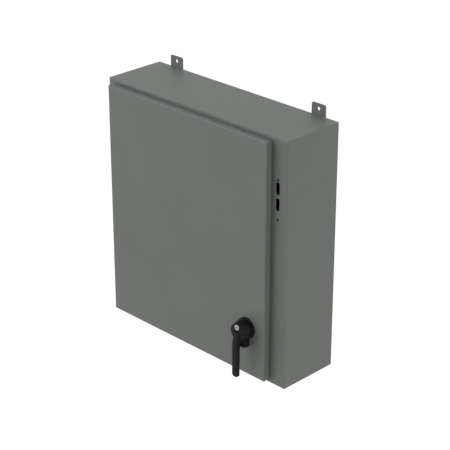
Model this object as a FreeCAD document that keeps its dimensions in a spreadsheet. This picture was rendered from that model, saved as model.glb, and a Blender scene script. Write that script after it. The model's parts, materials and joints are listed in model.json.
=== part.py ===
"""Steel wall enclosure with one door, a padlocking lever handle and a three-point latch.

Frame: millimetres, +Z up, +X to the right of a person facing the door, +Y into the wall.
The origin is the centre of the wall bolt pattern, on the plane of the wall, so the whole
enclosure lies at negative Y. A length from the wall towards the door is called a reach.
"""
import math
import os
import re

import FreeCAD
import Part
import Sketcher

DOC = FreeCAD.newDocument("wall_enclosure")
SHEET = DOC.addObject("Spreadsheet::Sheet", "sizes")

# Driving sizes: alias, value in millimetres (angles in degrees)
SIZES = [
    # how far a cut, or a solid joined to another, runs past the face that it meets
    ("run_past", 1.0),
    # play between pieces that are screwed or welded together
    ("joint_play", 0.3),
    # body
    ("body_width", 720.9),
    ("body_height", 762.0),
    ("body_depth", 203.2),
    ("body_gauge", 1.9),
    ("back_gauge", 1.9),
    ("body_bend", 3.2),
    # opening and its turned-out rain lip
    ("lip_inset", 10.2),
    ("lip_inset_hinge", 24.0),
    ("lip_height", 13.2),
    ("lip_bend", 2.6),
    # wall tabs
    ("tab_width", 50.8),
    ("tab_rise", 34.2),
    ("tab_overlap", 44.0),
    ("tab_gauge", 3.4),
    ("tab_corner", 6.0),
    ("tab_hole_radius", 5.6),
    ("wall_hole_inset", 75.45),
    ("wall_hole_outset", 19.05),
    # cut-outs for a flange-mounted switch operator
    ("cutout_inset", 35.0),
    ("operator_hole_radius", 4.0),
    ("operator_hole_spacing", 118.0),
    ("operator_drop", 181.2),
    ("slot_width", 13.6),
    ("slot_length", 37.8),
    ("slot_spacing", 47.7),
    ("slot_rise", 10.7),
    # door
    ("door_left_margin", 24.2),
    ("door_right_margin", 55.9),
    ("door_end_margin", 12.2),
    ("door_depth", 25.4),
    ("door_gauge", 1.9),
    ("door_gap", 2.5),
    ("door_bend", 2.6),
    ("hang_hole_radius", 3.2),
    ("hang_hole_inset", 101.9),
    ("hang_hole_back", 5.2),
    ("gasket_width", 12.6),
    ("gasket_thickness", 10.0),
    # hinges
    ("pivot_side", 7.0),
    ("pivot_reach", 16.5),
    ("barrel_radius", 4.5),
    ("pin_radius", 2.5),
    ("pin_clearance", 0.05),
    ("hinge_length", 60.0),
    ("hinge_end_inset", 98.3),
    ("knuckle_gap", 0.3),
    ("leaf_gauge", 2.0),
    ("hinge_notch_margin", 2.0),
    ("hinge_notch_reach", 2.5),
    ("hinge_foot", 16.0),
    ("frame_foot", 21.0),
    ("frame_web_gap", 1.5),
    ("pin_head_radius", 3.9),
    # inner panel and its studs
    ("panel_left_margin", 73.75),
    ("panel_right_margin", 113.75),
    ("panel_end_margin", 38.1),
    ("panel_gauge", 2.7),
    ("panel_flange", 12.7),
    ("panel_standoff", 15.8),
    ("panel_bend", 3.4),
    ("stud_inset", 17.0),
    ("stud_radius", 4.75),
    ("stud_collar_radius", 8.0),
    ("stud_length", 16.0),
    ("panel_hole_radius", 5.3),
    ("panel_nut_flats", 14.3),
    ("panel_nut_height", 8.3),
    ("panel_washer_radius", 11.0),
    ("washer_gauge", 1.6),
    # earthing studs
    ("earth_radius", 3.2),
    ("earth_length", 20.0),
    ("earth_nut_flats", 11.1),
    ("earth_nut_height", 5.5),
    ("earth_inset", 60.0),
    ("door_earth_rise", 90.0),
    # handle
    ("handle_inset", 68.15),
    ("handle_rise", 150.9),
    ("handle_gasket_radius", 32.4),
    ("handle_gasket_gauge", 1.5),
    ("base_radius", 33.0),
    ("base_rim", 5.5),
    ("base_boss_radius", 28.0),
    ("base_boss", 3.4),
    ("neck_radius", 12.0),
    ("neck_length", 14.0),
    ("door_hole_radius", 12.6),
    ("hub_gap", 0.3),
    ("hub_rear_radius", 30.6),
    ("hub_front_radius", 25.8),
    ("hub_length", 28.7),
    ("hub_edge", 1.6),
    ("lever_width", 23.4),
    ("lever_thickness", 10.4),
    ("lever_reach", 50.0),
    ("lever_length", 142.2),
    ("lever_root_drop", 2.0),
    ("lever_root_depth", 4.4),
    ("lever_straight_drop", 52.4),
    ("lever_bow", 1.6),
    ("lever_inner_bow", 2.6),
    ("lever_tip_flat", 4.0),
    ("lever_edge", 2.0),
    ("lug_width", 26.0),
    ("lug_drop", 55.0),
    ("lug_front", 19.2),
    ("lug_round", 6.5),
    ("padlock_hole_radius", 4.8),
    ("padlock_hole_drop", 42.0),
    ("ear_drop", 52.3),
    ("ear_gap", 0.4),
    ("ear_thickness", 8.4),
    ("shaft_radius", 9.0),
    ("shaft_square", 12.0),
    ("shaft_clearance", 0.05),
    ("socket_depth", 15.0),
    ("lock_radius", 8.6),
    ("lock_rise", 15.7),
    ("lock_proud", 1.6),
    ("lock_length", 18.0),
    ("lock_clearance", 0.05),
    ("key_slot_width", 1.6),
    ("key_slot_length", 9.0),
    ("key_slot_depth", 7.0),
    ("key_slot_angle", 40.0),
    ("handle_screw_spacing", 46.0),
    ("handle_screw_radius", 2.4),
    ("handle_screw_grip", 5.5),
    ("handle_screw_head_radius", 4.6),
    ("handle_screw_head", 3.4),
    # latch
    ("cam_gauge", 3.0),
    ("cam_gap", 1.1),
    ("cam_radius", 26.0),
    ("cam_arm_width", 20.0),
    ("cam_arm_length", 62.0),
    ("crank_radius", 20.0),
    ("crank_pin_radius", 3.0),
    ("crank_pin_head_radius", 4.4),
    ("crank_pin_head", 1.2),
    ("cam_screw_radius", 3.9),
    ("cam_screw_length", 14.0),
    ("cam_screw_flats", 13.0),
    ("cam_screw_head", 5.3),
    ("rod_width", 17.0),
    ("rod_gauge", 3.2),
    ("rod_gap", 0.3),
    ("rod_drawn", 10.0),
    ("rod_tip", 14.0),
    ("yoke_clearance", 0.95),
    ("yoke_end", 9.0),
    ("guide_width", 36.0),
    ("guide_gauge", 2.0),
    ("guide_foot", 22.0),
    ("guide_inset", 62.0),
    ("guide_clearance", 0.35),
    ("guide_back", 6.0),
    # pocket for drawings
    ("pocket_width", 292.0),
    ("pocket_height", 230.0),
    ("pocket_depth", 19.0),
    ("pocket_wall", 1.8),
    ("pocket_drop", 40.0),
    ("pocket_shift", -54.0),
]
for row, (alias, value) in enumerate(SIZES, 1):
    SHEET.set(f"A{row}", alias)
    SHEET.set(f"B{row}", str(value))
    SHEET.setAlias(f"B{row}", alias)
DOC.recompute()
NAMES = {alias for alias, value in SIZES}
NEAR = 0.01  # two lengths this close in millimetres count as equal

# Places worked out from the driving sizes. Each is text that the document evaluates.
BODY_LEFT = "(-body_width / 2)"
BODY_RIGHT = "(body_width / 2)"
BODY_TOP = "(body_height / 2)"
BODY_BOTTOM = "(-body_height / 2)"
BACK = "(tab_gauge)"
FRONT = "(tab_gauge + body_depth)"
DOOR_LEFT = f"({BODY_LEFT} + door_left_margin)"
DOOR_RIGHT = f"({BODY_RIGHT} - door_right_margin)"
DOOR_MIDDLE = f"(({DOOR_LEFT} + {DOOR_RIGHT}) / 2)"
DOOR_TOP = f"({BODY_TOP} - door_end_margin)"
DOOR_BOTTOM = f"({BODY_BOTTOM} + door_end_margin)"
DOOR_FACE = f"({FRONT} + door_depth)"
DOOR_SKIN = f"({DOOR_FACE} - door_gauge)"
LIP_LEFT = f"({DOOR_LEFT} + lip_inset_hinge)"
LIP_RIGHT = f"({DOOR_RIGHT} - lip_inset)"
LIP_TOP = f"({DOOR_TOP} - lip_inset)"
LIP_BOTTOM = f"({DOOR_BOTTOM} + lip_inset)"
PIVOT_X = f"({DOOR_LEFT} + pivot_side)"
PIVOT = f"({FRONT} + pivot_reach)"
HINGE_RISE = f"({DOOR_TOP} - hinge_end_inset)"
CUTOUT_X = f"({BODY_RIGHT} - cutout_inset)"
OPERATOR_Z = f"({BODY_TOP} - operator_drop)"
HANDLE_X = f"({DOOR_RIGHT} - handle_inset)"
HANDLE_Z = f"({DOOR_BOTTOM} + handle_rise)"
BASE_BACK = f"({DOOR_FACE} + handle_gasket_gauge)"
BASE_FRONT = f"({BASE_BACK} + base_rim + base_boss)"
HUB_BACK = f"({BASE_FRONT} + hub_gap)"
HUB_FRONT = f"({HUB_BACK} + hub_length)"
CAM_FRONT = f"({FRONT} - body_gauge - cam_gap)"
CAM_BACK = f"({CAM_FRONT} - cam_gauge)"
ROD_FRONT = f"({CAM_BACK} - rod_gap)"
ROD_BACK = f"({ROD_FRONT} - rod_gauge)"
CRANK = "(crank_radius * sin(45 deg))"
YOKE_MIDDLE = f"(({CRANK} + crank_radius) / 2)"
PANEL_BACK = "(tab_gauge + back_gauge + panel_standoff)"
PANEL_FACE = f"({PANEL_BACK} + panel_gauge)"
PANEL_LEFT = f"({BODY_LEFT} + panel_left_margin)"
PANEL_RIGHT = f"({BODY_RIGHT} - panel_right_margin)"
PANEL_TOP = f"({BODY_TOP} - panel_end_margin)"
PANEL_BOTTOM = f"({BODY_BOTTOM} + panel_end_margin)"


def bound(text):
    """Name the sheet in front of every alias in an expression."""
    return re.sub(r"[a-z_]+", lambda m: "sizes." + m.group() if m.group() in NAMES else m.group(), str(text))


def number(text):
    """Evaluate an expression of the sheet's aliases as a plain number."""
    result = SHEET.evalExpression(bound(text))
    return getattr(result, "Value", result)


def piece(label):
    """Start a sub-part with its own label."""
    body = DOC.addObject("PartDesign::Body", label)
    body.Label = label
    return body


def sketch(body, plane, offset="0"):
    """Add a sketch on an origin plane of the body, moved along the plane's normal by offset."""
    made = body.newObject("Sketcher::SketchObject", body.Label + "_sketch")
    origin_plane = next(f for f in body.Origin.OriginFeatures if f.Role == plane + "_Plane")
    made.AttachmentSupport = [(origin_plane, "")]
    made.MapMode = "FlatFace"
    made.setExpression("AttachmentOffset.Base.z", bound(offset))
    return made


def place_point(drawn, geometry, point, across, up):
    """Hold one point of a sketch at two expressions from the sketch's origin."""
    for kind, text in (("DistanceX", across), ("DistanceY", up)):
        held = drawn.addConstraint(Sketcher.Constraint(kind, -1, 1, geometry, point, number(text)))
        drawn.setExpression(f"Constraints[{held}]", bound(text))


def add_outline(drawn, points):
    """Draw a closed outline of straight lines through points given as pairs of expressions."""
    first = drawn.GeometryCount
    spots = [FreeCAD.Vector(number(across), number(up), 0) for across, up in points]
    for index, spot in enumerate(spots):
        drawn.addGeometry(Part.LineSegment(spot, spots[(index + 1) % len(spots)]))
    for index, (across, up) in enumerate(points):
        following = (index + 1) % len(points)
        drawn.addConstraint(Sketcher.Constraint("Coincident", first + index, 2, first + following, 1))
        place_point(drawn, first + index, 1, across, up)


def add_rectangle(drawn, left, bottom, right, top):
    """Draw a rectangle between two corners given as expressions."""
    add_outline(drawn, [(left, bottom), (right, bottom), (right, top), (left, top)])


def add_circle(drawn, across, up, radius):
    """Draw a circle whose centre and radius are expressions."""
    centre = FreeCAD.Vector(number(across), number(up), 0)
    index = drawn.addGeometry(Part.Circle(centre, FreeCAD.Vector(0, 0, 1), number(radius)))
    place_point(drawn, index, 3, across, up)
    held = drawn.addConstraint(Sketcher.Constraint("Radius", index, number(radius)))
    drawn.setExpression(f"Constraints[{held}]", bound(radius))


def add_slot(drawn, across, low, high, radius):
    """Draw an upright round-ended slot between two end centres."""
    x, z_low, z_high, r = number(across), number(low), number(high), number(radius)
    first = drawn.GeometryCount
    up = FreeCAD.Vector(0, 0, 1)
    top = Part.Circle(FreeCAD.Vector(x, z_high, 0), up, r)
    bottom = Part.Circle(FreeCAD.Vector(x, z_low, 0), up, r)
    drawn.addGeometry(Part.ArcOfCircle(top, 0, math.pi))
    drawn.addGeometry(Part.LineSegment(FreeCAD.Vector(x - r, z_high, 0), FreeCAD.Vector(x - r, z_low, 0)))
    drawn.addGeometry(Part.ArcOfCircle(bottom, math.pi, 2 * math.pi))
    drawn.addGeometry(Part.LineSegment(FreeCAD.Vector(x + r, z_low, 0), FreeCAD.Vector(x + r, z_high, 0)))
    for a, end_a, b, end_b in ((0, 2, 1, 1), (1, 2, 2, 1), (2, 2, 3, 1), (3, 2, 0, 1)):
        drawn.addConstraint(Sketcher.Constraint("Tangent", first + a, end_a, first + b, end_b))
    place_point(drawn, first, 3, across, high)
    place_point(drawn, first + 2, 3, across, low)
    held = drawn.addConstraint(Sketcher.Constraint("Radius", first, r))
    drawn.setExpression(f"Constraints[{held}]", bound(radius))


def hexagon(drawn, across, up, flats):
    """Draw a hexagon with two flats upright, by the distance across its flats."""
    corner = f"({flats} / 2 / cos(30 deg))"
    turns = ("30", "90", "150", "210", "270", "330")
    add_outline(drawn, [(f"{across} + {corner} * cos({turn} deg)", f"{up} + {corner} * sin({turn} deg)")
                        for turn in turns])


def pad(body, drawn, length):
    """Thicken a sketch along its normal."""
    made = body.newObject("PartDesign::Pad", body.Label + "_pad")
    made.Profile = drawn
    made.setExpression("Length", bound(length))
    return made


def pocket(body, drawn, depth):
    """Cut a sketch away along its normal, and make sure that it removed something."""
    DOC.recompute()
    before = body.Shape.Volume
    made = body.newObject("PartDesign::Pocket", body.Label + "_pocket")
    made.Profile = drawn
    made.Reversed = True
    made.setExpression("Length", bound(depth))
    DOC.recompute()
    if not made.Shape.Volume < before - 1e-6:
        raise RuntimeError(f"{made.Name} cut nothing")
    return made


def edges_where(feature, test):
    """Names of the feature's edges that pass a test, which takes an edge's middle point and the edge."""
    DOC.recompute()
    found = []
    for index, edge in enumerate(feature.Shape.Edges, 1):
        middle = edge.valueAt((edge.FirstParameter + edge.LastParameter) / 2)
        if test(middle, edge):
            found.append(f"Edge{index}")
    if not found:
        raise RuntimeError(f"no edge found on {feature.Name}")
    return found


def fillet(body, test, radius):
    """Round the edges that pass a test on the body's last feature."""
    base = body.Tip
    names = edges_where(base, test)
    made = body.newObject("PartDesign::Fillet", body.Label + "_fillet")
    made.Base = (base, names)
    made.setExpression("Radius", bound(radius))
    DOC.recompute()
    return made


def chamfer(body, test, size):
    """Bevel the edges that pass a test on the body's last feature."""
    base = body.Tip
    names = edges_where(base, test)
    made = body.newObject("PartDesign::Chamfer", body.Label + "_chamfer")
    made.Base = (base, names)
    made.setExpression("Size", bound(size))
    DOC.recompute()
    return made


def slab(body, left, bottom, right, top, start, reach):
    """Pad a rectangle seen from the front, from one distance off the wall to another."""
    drawn = sketch(body, "XZ", start)
    add_rectangle(drawn, left, bottom, right, top)
    return pad(body, drawn, f"{reach} - {start}")


def slab_cut(body, left, bottom, right, top, start, reach):
    """Cut a rectangle seen from the front away, from one distance off the wall to another."""
    drawn = sketch(body, "XZ", start)
    add_rectangle(drawn, left, bottom, right, top)
    return pocket(body, drawn, f"{reach} - {start}")


def discs(body, centres, radius, start, reach):
    """Pad circles seen from the front, all of one radius."""
    drawn = sketch(body, "XZ", start)
    for across, up in centres:
        add_circle(drawn, across, up, radius)
    return pad(body, drawn, f"{reach} - {start}")


def drill(body, centres, radius, start, reach):
    """Cut round holes along the wall's normal."""
    drawn = sketch(body, "XZ", start)
    for across, up in centres:
        add_circle(drawn, across, up, radius)
    return pocket(body, drawn, f"{reach} - {start}")


def drill_through(body, centres, radius, start, reach):
    """Cut round holes along the wall's normal through a whole thickness."""
    return drill(body, centres, radius, f"({start} - run_past)", f"({reach} + run_past)")


def near(value, text):
    """True if a number is where an expression says."""
    return abs(value - number(text)) < NEAR


def within(value, low, high):
    """True if a number lies between two expressions or on either of them."""
    return number(low) - NEAR < value < number(high) + NEAR


def no_longer(edge, text):
    """True if an edge's length isn't over an expression."""
    return edge.Length < number(text) + NEAR


def body_wrap():
    """Folded wrapper: four walls, the front flanges, and the lip turned out round the opening."""
    body = piece("body_wrap")
    slab(body, BODY_LEFT, BODY_BOTTOM, BODY_RIGHT, BODY_TOP, BACK, FRONT)
    fillet(body, lambda middle, edge: near(-middle.y, FRONT), "body_bend")
    slab(body, LIP_LEFT, LIP_BOTTOM, LIP_RIGHT, LIP_TOP, f"({FRONT} - body_gauge)", f"({FRONT} + lip_height)")
    slab_cut(body, f"{LIP_LEFT} + body_gauge", f"{LIP_BOTTOM} + body_gauge", f"{LIP_RIGHT} - body_gauge",
             f"{LIP_TOP} - body_gauge", f"({FRONT} - 4 * body_gauge)", f"({FRONT} + lip_height + run_past)")
    slab_cut(body, f"{BODY_LEFT} + body_gauge", f"{BODY_BOTTOM} + body_gauge", f"{BODY_RIGHT} - body_gauge",
             f"{BODY_TOP} - body_gauge", f"({BACK} - run_past)", f"({FRONT} - body_gauge)")
    fillet(body, lambda middle, edge: near(-middle.y, FRONT)
           and within(middle.x, LIP_LEFT, LIP_RIGHT) and within(middle.z, LIP_BOTTOM, LIP_TOP),
           "lip_bend - body_gauge")
    flange_cutouts(body)
    return body


def flange_cutouts(body):
    """Holes and slots in the wide right flange for a switch operator."""
    drawn = sketch(body, "XZ", f"({FRONT} - 2 * body_gauge)")
    for side in ("+", "-"):
        add_circle(drawn, CUTOUT_X, f"{OPERATOR_Z} {side} operator_hole_spacing / 2", "operator_hole_radius")
        middle = f"{OPERATOR_Z} + slot_rise {side} slot_spacing / 2"
        half = "(slot_length / 2 - slot_width / 2)"
        add_slot(drawn, CUTOUT_X, f"{middle} - {half}", f"{middle} + {half}", "slot_width / 2")
    pocket(body, drawn, "4 * body_gauge")


def back_sheet():
    """Back wall, welded inside the wrapper's rear edge."""
    body = piece("back_sheet")
    slab(body, f"{BODY_LEFT} + body_gauge", f"{BODY_BOTTOM} + body_gauge", f"{BODY_RIGHT} - body_gauge",
         f"{BODY_TOP} - body_gauge", BACK, f"({BACK} + back_gauge)")


def wall_tabs():
    """Four tabs, welded to the back and bolted to the wall above and below the body."""
    for name, side, up in (("top_left", "-", ""), ("top_right", "", ""),
                           ("bottom_left", "-", "-"), ("bottom_right", "", "-")):
        body = piece("wall_tab_" + name)
        middle = f"({side}({BODY_RIGHT} - wall_hole_inset))"
        free_end = f"({up}({BODY_TOP} + tab_rise))"
        held_end = f"({up}({BODY_TOP} - tab_overlap))"
        slab(body, f"{middle} - tab_width / 2", held_end, f"{middle} + tab_width / 2", free_end,
             "0", "tab_gauge")
        fillet(body, lambda point, edge: near(point.z, free_end) and no_longer(edge, "tab_gauge"),
               "tab_corner")
        drill_through(body, [(middle, f"({up}({BODY_TOP} + wall_hole_outset))")], "tab_hole_radius",
                      "0", "tab_gauge")


def stud_places():
    """Centres of the four studs that carry the inner panel."""
    return [(across, up) for across in (f"({PANEL_LEFT} + stud_inset)", f"({PANEL_RIGHT} - stud_inset)")
            for up in (f"({PANEL_BOTTOM} + stud_inset)", f"({PANEL_TOP} - stud_inset)")]


def panel_group():
    """Inner panel on its four collared studs, each with a washer and a nut."""
    studs = piece("panel_studs")
    discs(studs, stud_places(), "stud_collar_radius", "(tab_gauge + back_gauge)", PANEL_BACK)
    discs(studs, stud_places(), "stud_radius", PANEL_BACK, f"({PANEL_BACK} + stud_length)")
    panel = piece("inner_panel")
    back = f"({PANEL_FACE} - panel_flange)"
    slab(panel, PANEL_LEFT, PANEL_BOTTOM, PANEL_RIGHT, PANEL_TOP, back, PANEL_FACE)
    fillet(panel, lambda middle, edge: near(-middle.y, PANEL_FACE), "panel_bend")
    slab_cut(panel, f"{PANEL_LEFT} + panel_gauge", f"{PANEL_BOTTOM} + panel_gauge",
             f"{PANEL_RIGHT} - panel_gauge", f"{PANEL_TOP} - panel_gauge", f"({back} - run_past)", PANEL_BACK)
    drill_through(panel, stud_places(), "panel_hole_radius", PANEL_BACK, PANEL_FACE)
    washers = piece("panel_washers")
    discs(washers, stud_places(), "panel_washer_radius", PANEL_FACE, f"({PANEL_FACE} + washer_gauge)")
    drill_through(washers, stud_places(), "stud_radius + pin_clearance", PANEL_FACE,
                  f"({PANEL_FACE} + washer_gauge)")
    nuts = piece("panel_nuts")
    start = f"({PANEL_FACE} + washer_gauge)"
    drawn = sketch(nuts, "XZ", start)
    for across, up in stud_places():
        hexagon(drawn, across, up, "panel_nut_flats")
        add_circle(drawn, across, up, "stud_radius + pin_clearance")
    pad(nuts, drawn, "panel_nut_height")


def earth_group():
    """Earthing stud on the body's floor and bonding stud on the door, each with its nut."""
    stud = piece("body_earth_stud")
    floor = f"({BODY_BOTTOM} + body_gauge)"
    across, back = f"({BODY_RIGHT} - earth_inset)", f"(-({BACK} + earth_inset))"
    drawn = sketch(stud, "XY", floor)
    add_circle(drawn, across, back, "earth_radius")
    pad(stud, drawn, "earth_length")
    nut = piece("body_earth_nut")
    drawn = sketch(nut, "XY", floor)
    hexagon(drawn, across, back, "earth_nut_flats")
    add_circle(drawn, across, back, "earth_radius + pin_clearance")
    pad(nut, drawn, "earth_nut_height")
    door_x, door_z = f"({LIP_LEFT} + earth_inset)", f"({DOOR_BOTTOM} + door_earth_rise)"
    door_stud = piece("door_earth_stud")
    discs(door_stud, [(door_x, door_z)], "earth_radius", f"({DOOR_SKIN} - earth_length)", DOOR_SKIN)
    door_nut = piece("door_earth_nut")
    drawn = sketch(door_nut, "XZ", f"({DOOR_SKIN} - earth_nut_height)")
    hexagon(drawn, door_x, door_z, "earth_nut_flats")
    add_circle(drawn, door_x, door_z, "earth_radius + pin_clearance")
    pad(door_nut, drawn, "earth_nut_height")


def door_panel():
    """Folded door pan with notches for the hinges and two hanging holes in its top flange."""
    body = piece("door_panel")
    back = f"({FRONT} + door_gap)"
    slab(body, DOOR_LEFT, DOOR_BOTTOM, DOOR_RIGHT, DOOR_TOP, back, DOOR_FACE)
    fillet(body, lambda middle, edge: near(-middle.y, DOOR_FACE), "door_bend")
    slab_cut(body, f"{DOOR_LEFT} + door_gauge", f"{DOOR_BOTTOM} + door_gauge", f"{DOOR_RIGHT} - door_gauge",
             f"{DOOR_TOP} - door_gauge", f"({back} - run_past)", DOOR_SKIN)
    for side in ("", "-"):
        middle = f"({side}{HINGE_RISE})"
        half = "(hinge_length / 2 + hinge_notch_margin)"
        slab_cut(body, f"{DOOR_LEFT} - run_past", f"{middle} - {half}",
                 f"{DOOR_LEFT} + door_gauge + joint_play", f"{middle} + {half}",
                 f"({back} - run_past)", f"({PIVOT} + hinge_notch_reach)")
    drawn = sketch(body, "XY", f"({DOOR_TOP} - 2 * door_gauge)")
    for across in (f"({DOOR_LEFT} + hang_hole_inset)", f"({DOOR_RIGHT} - hang_hole_inset)"):
        add_circle(drawn, across, f"(-({back} + hang_hole_back))", "hang_hole_radius")
    pocket(body, drawn, "4 * door_gauge")
    drill_through(body, [(HANDLE_X, HANDLE_Z)], "door_hole_radius", DOOR_SKIN, DOOR_FACE)
    drill_through(body, handle_screw_places(), "handle_screw_radius + joint_play", DOOR_SKIN, DOOR_FACE)


def door_gasket():
    """Foamed seal in the door, opposite the lip."""
    body = piece("door_gasket")
    start = f"({DOOR_SKIN} - gasket_thickness)"
    spread = "((gasket_width - body_gauge) / 2)"
    slab(body, f"{LIP_LEFT} - {spread}", f"{LIP_BOTTOM} - {spread}", f"{LIP_RIGHT} + {spread}",
         f"{LIP_TOP} + {spread}", start, DOOR_SKIN)
    inner = f"(body_gauge + {spread})"
    slab_cut(body, f"{LIP_LEFT} + {inner}", f"{LIP_BOTTOM} + {inner}", f"{LIP_RIGHT} - {inner}",
             f"{LIP_TOP} - {inner}", f"({start} - run_past)", f"({DOOR_SKIN} + run_past)")


def knuckle(body, low, high):
    """One hinge barrel length with its bore, on the pivot's axis."""
    drawn = sketch(body, "XY", low)
    add_circle(drawn, PIVOT_X, f"(-{PIVOT})", "barrel_radius")
    pad(body, drawn, f"{high} - {low}")


def bore_knuckles(body, middle):
    """Bore every barrel of a leaf for the pin."""
    drawn = sketch(body, "XY", f"({middle} - hinge_length / 2 - run_past)")
    add_circle(drawn, PIVOT_X, f"(-{PIVOT})", "pin_radius + pin_clearance")
    pocket(body, drawn, "hinge_length + 2 * run_past")


def hinges():
    """Two concealed hinges: a leaf on the body's flange, a leaf in the door, and a headed pin."""
    for name, side in (("upper", ""), ("lower", "-")):
        middle = f"({side}{HINGE_RISE})"
        low, high = f"({middle} - hinge_length / 2)", f"({middle} + hinge_length / 2)"
        quarter = "(hinge_length / 4)"
        frame_leaf(piece("hinge_frame_leaf_" + name), low, high, middle, quarter)
        door_leaf(piece("hinge_door_leaf_" + name), low, high, middle, quarter)
        pin = piece("hinge_pin_" + name)
        drawn = sketch(pin, "XY", low)
        add_circle(drawn, PIVOT_X, f"(-{PIVOT})", "pin_radius")
        pad(pin, drawn, "hinge_length + leaf_gauge")
        drawn = sketch(pin, "XY", high)
        add_circle(drawn, PIVOT_X, f"(-{PIVOT})", "pin_head_radius")
        pad(pin, drawn, "leaf_gauge")


def frame_leaf(body, low, high, middle, quarter):
    """Leaf welded to the body's flange, with a barrel at each end."""
    web_left = f"({PIVOT_X} + barrel_radius - leaf_gauge)"
    drawn = sketch(body, "XY", low)
    foot_end = f"({DOOR_LEFT} + frame_foot)"
    web_end = f"(-({PIVOT} - barrel_radius - frame_web_gap))"
    add_outline(drawn, [(web_left, f"(-{FRONT})"), (foot_end, f"(-{FRONT})"),
                        (foot_end, f"(-({FRONT} + leaf_gauge))"),
                        (f"({web_left} + leaf_gauge)", f"(-({FRONT} + leaf_gauge))"),
                        (f"({web_left} + leaf_gauge)", web_end), (web_left, web_end)])
    pad(body, drawn, "hinge_length")
    for start, end in ((low, f"({low} + {quarter})"), (f"({high} - {quarter})", high)):
        drawn = sketch(body, "XY", start)
        add_rectangle(drawn, web_left, f"(-{PIVOT})", f"({web_left} + leaf_gauge)",
                      f"(-({PIVOT} - barrel_radius - frame_web_gap - joint_play))")
        pad(body, drawn, f"{end} - {start}")
        knuckle(body, start, end)
    bore_knuckles(body, middle)


def door_leaf(body, low, high, middle, quarter):
    """Leaf welded inside the door, with one barrel between the two of the other leaf."""
    knuckle_low, knuckle_high = f"({low} + {quarter} + knuckle_gap)", f"({high} - {quarter} - knuckle_gap)"
    web_right = f"({PIVOT_X} - barrel_radius + leaf_gauge)"
    drawn = sketch(body, "XY", low)
    add_rectangle(drawn, f"({DOOR_LEFT} + door_gauge)", f"(-{DOOR_SKIN})", f"({DOOR_LEFT} + hinge_foot)",
                  f"(-({DOOR_SKIN} - leaf_gauge))")
    pad(body, drawn, "hinge_length")
    drawn = sketch(body, "XY", knuckle_low)
    add_rectangle(drawn, f"({PIVOT_X} - barrel_radius)", f"(-{DOOR_SKIN})", web_right, f"(-{PIVOT})")
    pad(body, drawn, f"{knuckle_high} - {knuckle_low}")
    knuckle(body, knuckle_low, knuckle_high)
    bore_knuckles(body, middle)


def handle_screw_places():
    """Centres of the two screws that hold the handle's base from inside the door."""
    return [(f"({HANDLE_X} {side} handle_screw_spacing / 2)", HANDLE_Z) for side in ("-", "+")]


def handle_fixed():
    """Seal, die-cast base with its padlock lug, and the two screws that hold it."""
    seal = piece("handle_gasket")
    discs(seal, [(HANDLE_X, HANDLE_Z)], "handle_gasket_radius", DOOR_FACE, BASE_BACK)
    drill_through(seal, [(HANDLE_X, HANDLE_Z)], "door_hole_radius", DOOR_FACE, BASE_BACK)
    drill_through(seal, handle_screw_places(), "handle_screw_radius + joint_play", DOOR_FACE, BASE_BACK)
    base = piece("handle_base")
    rim = f"({BASE_BACK} + base_rim)"
    discs(base, [(HANDLE_X, HANDLE_Z)], "base_radius", BASE_BACK, rim)
    fillet(base, lambda middle, edge: near(-middle.y, rim), "base_rim / 3")
    discs(base, [(HANDLE_X, HANDLE_Z)], "base_boss_radius", f"({rim} - run_past)", BASE_FRONT)
    discs(base, [(HANDLE_X, HANDLE_Z)], "neck_radius", f"({BASE_BACK} - neck_length)",
          f"({BASE_BACK} + run_past)")
    bottom = f"({HANDLE_Z} - lug_drop)"
    shelf = f"({HANDLE_Z} - hub_rear_radius - ear_gap)"
    lug_reach = f"({DOOR_FACE} + lug_front)"
    slab(base, f"{HANDLE_X} - lug_width / 2", bottom, f"{HANDLE_X} + lug_width / 2",
         f"({HANDLE_Z} - base_boss_radius + run_past)", BASE_BACK, rim)
    slab(base, f"{HANDLE_X} - lug_width / 2", bottom, f"{HANDLE_X} + lug_width / 2", shelf,
         f"({rim} - run_past)", lug_reach)
    fillet(base, lambda middle, edge: near(middle.z, bottom) and near(-middle.y, lug_reach), "lug_round")
    drill_through(base, [(HANDLE_X, f"({HANDLE_Z} - padlock_hole_drop)")], "padlock_hole_radius",
                  BASE_BACK, lug_reach)
    drill_through(base, [(HANDLE_X, HANDLE_Z)], "shaft_radius + shaft_clearance",
                  f"({BASE_BACK} - neck_length)", BASE_FRONT)
    drill(base, handle_screw_places(), "handle_screw_radius + pin_clearance", f"({BASE_BACK} - run_past)",
          f"({BASE_BACK} + handle_screw_grip)")
    screws = piece("handle_screws")
    head = f"({DOOR_SKIN} - handle_screw_head)"
    discs(screws, handle_screw_places(), "handle_screw_radius", head,
          f"({BASE_BACK} + handle_screw_grip - joint_play)")
    discs(screws, handle_screw_places(), "handle_screw_head_radius", head, DOOR_SKIN)


def lever_profile():
    """Side view of the lever arm: it leaves the hub's face, bows forward and hangs straight."""
    front = f"(-({DOOR_FACE} + lever_reach))"
    back = f"(-({DOOR_FACE} + lever_reach - lever_thickness))"
    root = f"(-({HUB_FRONT} + lever_thickness / 3))"
    inside = f"(-({HUB_FRONT} - lever_thickness))"
    top = f"({HANDLE_Z} - lever_root_drop)"
    straight = f"({HANDLE_Z} - lever_straight_drop)"
    tip = f"({HANDLE_Z} - lever_length)"
    return [(root, top), (f"({front} + lever_bow)", f"({HANDLE_Z} - hub_front_radius)"),
            (front, straight), (front, tip), (back, tip), (back, straight),
            (f"({back} + lever_inner_bow)", f"({HANDLE_Z} - hub_front_radius - lever_root_depth)"),
            (inside, f"({HANDLE_Z} - hub_front_radius + lever_root_drop)"), (inside, top)]


def square_hole(body, start, reach):
    """Square hole on the handle's axis that fits the shaft."""
    half = "(shaft_square / 2 + shaft_clearance)"
    slab_cut(body, f"{HANDLE_X} - {half}", f"{HANDLE_Z} - {half}", f"{HANDLE_X} + {half}",
             f"{HANDLE_Z} + {half}", start, reach)


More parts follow.
